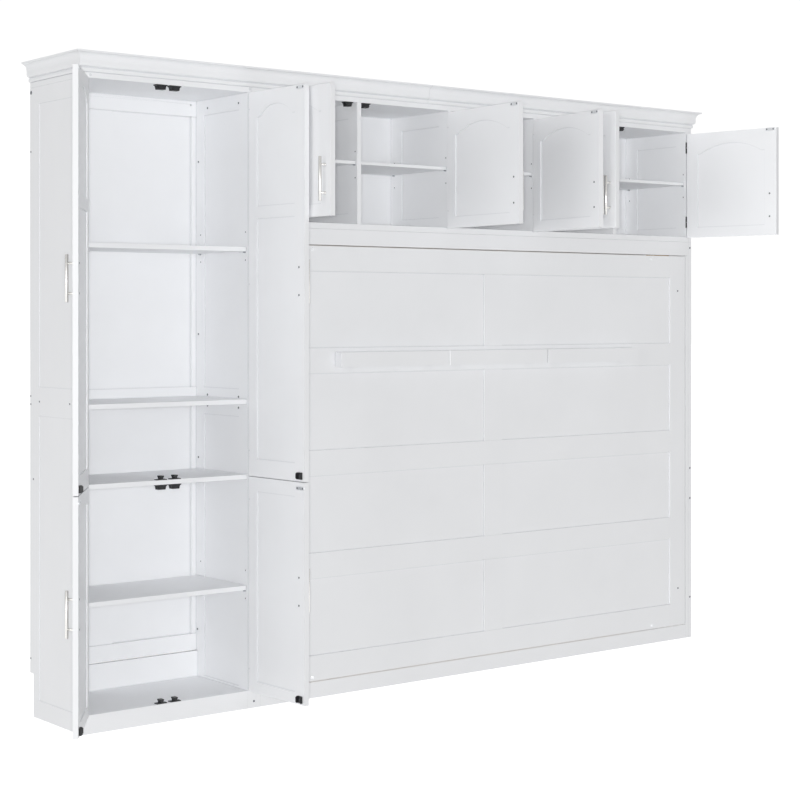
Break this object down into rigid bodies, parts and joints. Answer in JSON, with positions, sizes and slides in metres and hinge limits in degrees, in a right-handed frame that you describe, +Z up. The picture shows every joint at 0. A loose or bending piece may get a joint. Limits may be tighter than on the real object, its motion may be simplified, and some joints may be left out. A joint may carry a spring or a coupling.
{
  "type": "wall bed cabinet",
  "caption": "Wall bed that tilts sideways out of a panelled cabinet, with a fold-out foot rail, a tall wardrobe with open doors and a row of overhead cupboards under a crown moulding.",
  "frame": {"origin": "on the floor line of the wall, in the middle of the cabinet's width", "axes": "+X to the right along the front, +Y towards the wall, +Z up; the doors and the bed open towards -Y"},
  "size_m": [3.2221, 0.8273, 2.284],
  "materials": {
    "painted_board": "satin off-white paint on MDF",
    "inner_board": "satin off-white foil",
    "bare_timber": "planed softwood",
    "bright_steel": "zinc plated",
    "nickel": "brushed nickel",
    "black_plastic": "moulded",
    "black_steel": "black paint"
  },
  "bodies": {
    "cabinet": {"wardrobe_side_left": "painted_board", "wardrobe_side_right": "painted_board", "wardrobe_top": "painted_board", "wardrobe_floor": "inner_board", "wardrobe_plinth": "painted_board", "wardrobe_fixed_shelves": "inner_board", "wardrobe_loose_shelves": "inner_board", "wardrobe_back_rails": "inner_board", "back_boards": "inner_board", "bed_sides": "painted_board", "front_posts": "painted_board", "bed_header": "painted_board", "bed_plinth": "painted_board", "bed_back_rails": "inner_board", "bed_stops": "bare_timber", "overhead_ends": "painted_board", "overhead_deck": "painted_board", "overhead_top": "painted_board", "overhead_partitions": "painted_board", "overhead_shelves": "inner_board", "crown_front": "painted_board", "crown_returns": "painted_board", "door_hinges": "black_steel", "door_catches": "black_plastic", "shelf_pins": "bright_steel", "pivot_bushes": "black_plastic", "strut_studs": "bright_steel"},
    "bed": {"bed_face_rails": "painted_board", "bed_face_stiles": "painted_board", "bed_face_panels": "painted_board", "bed_box_rails": "bare_timber", "bed_box_ends": "bare_timber", "bed_slats": "bare_timber", "pivot_plates": "bright_steel", "foot_hinges": "bright_steel"},
    "foot_left": {"foot_rail_left": "painted_board"},
    "foot_centre": {"foot_rail_centre": "painted_board"},
    "foot_right": {"foot_rail_right": "painted_board"},
    "strut_left": {"strut_cylinder_left": "black_steel"},
    "strut_right": {"strut_cylinder_right": "black_steel"},
    "rod_left": {"strut_rod_left": "bright_steel"},
    "rod_right": {"strut_rod_right": "bright_steel"},
    "door_wardrobe_left_upper": {"door_wardrobe_left_upper": "painted_board", "fittings_wardrobe_left_upper": "nickel"},
    "door_wardrobe_left_lower": {"door_wardrobe_left_lower": "painted_board", "fittings_wardrobe_left_lower": "nickel"},
    "door_wardrobe_right_upper": {"door_wardrobe_right_upper": "painted_board", "fittings_wardrobe_right_upper": "nickel"},
    "door_wardrobe_right_lower": {"door_wardrobe_right_lower": "painted_board", "fittings_wardrobe_right_lower": "nickel"},
    "door_overhead_a": {"door_overhead_a": "painted_board", "fittings_overhead_a": "nickel"},
    "door_overhead_b": {"door_overhead_b": "painted_board", "fittings_overhead_b": "nickel"},
    "door_overhead_c": {"door_overhead_c": "painted_board", "fittings_overhead_c": "nickel"},
    "door_overhead_d": {"door_overhead_d": "painted_board", "fittings_overhead_d": "nickel"},
    "door_overhead_e": {"door_overhead_e": "painted_board", "fittings_overhead_e": "nickel"}
  },
  "joints": [
    {"name": "bed_tilt", "type": "hinge", "parent": "cabinet", "child": "bed", "pos_m": [0.338, -0.28, 0.166], "axis": [1, 0, 0], "range_deg": [0, 90], "stiffness_Nm_per_rad": 120, "springref_deg": -34.38},
    {"name": "foot_left_fold", "type": "hinge", "parent": "bed", "child": "foot_left", "pos_m": [-0.1792, -0.403, 1.223], "axis": [1, 0, 0], "range_deg": [0, 90]},
    {"name": "foot_centre_fold", "type": "hinge", "parent": "bed", "child": "foot_centre", "pos_m": [0.338, -0.403, 1.223], "axis": [1, 0, 0], "range_deg": [0, 90]},
    {"name": "foot_right_fold", "type": "hinge", "parent": "bed", "child": "foot_right", "pos_m": [0.8552, -0.403, 1.223], "axis": [1, 0, 0], "range_deg": [0, 90]},
    {"name": "strut_left_swing", "type": "hinge", "parent": "cabinet", "child": "strut_left", "pos_m": [-0.743, -0.13, 0.8], "axis": [1, 0, 0], "range_deg": [0, 1.15]},
    {"name": "strut_left_stroke", "type": "slide", "parent": "strut_left", "child": "rod_left", "axis": [0, 0.176, 0.9844], "range_m": [0, 0.0846]},
    {"name": "strut_right_swing", "type": "hinge", "parent": "cabinet", "child": "strut_right", "pos_m": [1.419, -0.13, 0.8], "axis": [1, 0, 0], "range_deg": [0, 1.15]},
    {"name": "strut_right_stroke", "type": "slide", "parent": "strut_right", "child": "rod_right", "axis": [0, 0.176, 0.9844], "range_m": [0, 0.0846]},
    {"name": "wardrobe_left_upper_hinge", "type": "hinge", "parent": "cabinet", "child": "door_wardrobe_left_upper", "pos_m": [-1.4694, -0.391, 1.5123], "axis": [0, 0, -1], "range_deg": [-124, 1]},
    {"name": "wardrobe_left_lower_hinge", "type": "hinge", "parent": "cabinet", "child": "door_wardrobe_left_lower", "pos_m": [-1.4694, -0.391, 0.4467], "axis": [0, 0, -1], "range_deg": [-124, 1]},
    {"name": "wardrobe_right_upper_hinge", "type": "hinge", "parent": "cabinet", "child": "door_wardrobe_right_upper", "pos_m": [-0.8146, -0.391, 1.5123], "axis": [0, 0, 1], "range_deg": [-92.5, 0]},
    {"name": "wardrobe_right_lower_hinge", "type": "hinge", "parent": "cabinet", "child": "door_wardrobe_right_lower", "pos_m": [-0.8146, -0.391, 0.4467], "axis": [0, 0, 1], "range_deg": [-92.5, 0]},
    {"name": "overhead_a_hinge", "type": "hinge", "parent": "cabinet", "child": "door_overhead_a", "pos_m": [-0.7724, -0.391, 1.9635], "axis": [0, 0, -1], "range_deg": [-89.7, 0.2]},
    {"name": "overhead_b_hinge", "type": "hinge", "parent": "cabinet", "child": "door_overhead_b", "pos_m": [0.1032, -0.391, 1.9635], "axis": [0, 0, 1], "range_deg": [-87.5, 11.5]},
    {"name": "overhead_c_hinge", "type": "hinge", "parent": "cabinet", "child": "door_overhead_c", "pos_m": [0.5516, -0.391, 1.9635], "axis": [0, 0, 1], "range_deg": [-82.8, 0.2]},
    {"name": "overhead_d_hinge", "type": "hinge", "parent": "cabinet", "child": "door_overhead_d", "pos_m": [0.5728, -0.391, 1.9635], "axis": [0, 0, -1], "range_deg": [-88.8, 0.2]},
    {"name": "overhead_e_hinge", "type": "hinge", "parent": "cabinet", "child": "door_overhead_e", "pos_m": [1.4522, -0.3872, 1.9635], "axis": [0, 0, 1], "range_deg": [-99.3, 0.7]}
  ],
  "couplings": [
    {"joint": "strut_left_swing", "follows": "bed_tilt", "ratio": 0.012767},
    {"joint": "strut_left_stroke", "follows": "bed_tilt", "m_per_rad": 0.053708},
    {"joint": "strut_right_swing", "follows": "bed_tilt", "ratio": 0.012767},
    {"joint": "strut_right_stroke", "follows": "bed_tilt", "m_per_rad": 0.053708}
  ]
}
